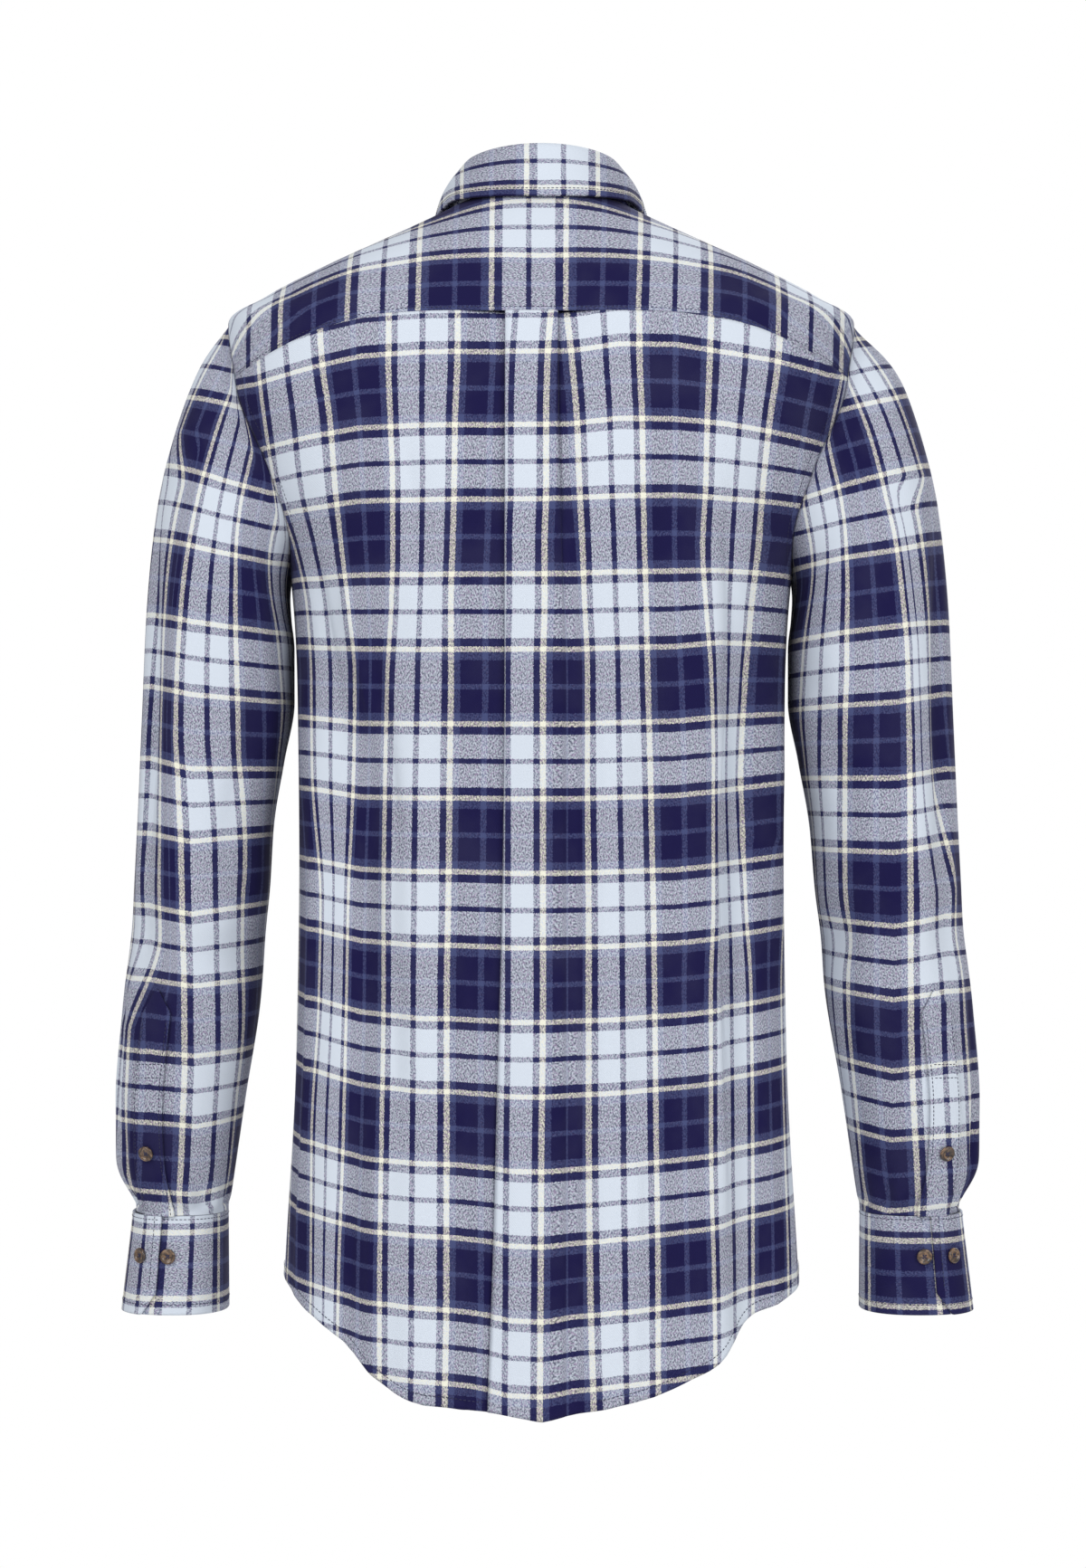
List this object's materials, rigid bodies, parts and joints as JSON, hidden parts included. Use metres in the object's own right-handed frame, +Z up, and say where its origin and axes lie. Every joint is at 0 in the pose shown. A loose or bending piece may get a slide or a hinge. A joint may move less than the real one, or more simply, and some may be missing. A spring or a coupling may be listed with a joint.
{
  "type": "long-sleeved flannel shirt",
  "caption": "Men's plaid flannel shirt, filled out as worn, with point collar, back yoke, box pleat, button front, tower plackets, buttoned cuffs and a shirt-tail hem.",
  "frame": {"origin": "mid neck, level with the two points where the shoulder lines meet the collar, where the wearer's shoulders and neck hold the shirt up", "axes": "+Z up, -Y the shirt's front, +Y its back, +X the wearer's left"},
  "size_m": [0.5753, 0.2675, 0.818],
  "materials": {
    "flannel": "brushed cotton flannel in a navy, slate, light blue and cream plaid",
    "horn_button": "polished, mottled brown-grey horn look"
  },
  "bodies": {
    "root": {"back": "flannel", "yoke": "flannel", "front_left": "flannel", "front_right": "flannel", "placket": "flannel", "button_band": "flannel", "collar_stand": "flannel", "collar_leaf": "flannel", "sleeve_left": "flannel", "sleeve_right": "flannel", "sleeve_placket_left": "flannel", "sleeve_placket_right": "flannel", "cuff_left": "flannel", "cuff_right": "flannel", "button_front_1": "horn_button", "button_front_2": "horn_button", "button_front_3": "horn_button", "button_front_4": "horn_button", "button_front_5": "horn_button", "button_front_6": "horn_button", "button_front_7": "horn_button", "button_stand": "horn_button", "button_sleeve_left": "horn_button", "button_sleeve_right": "horn_button", "button_cuff_left_1": "horn_button", "button_cuff_left_2": "horn_button", "button_cuff_right_1": "horn_button", "button_cuff_right_2": "horn_button"}
  },
  "joints": []
}
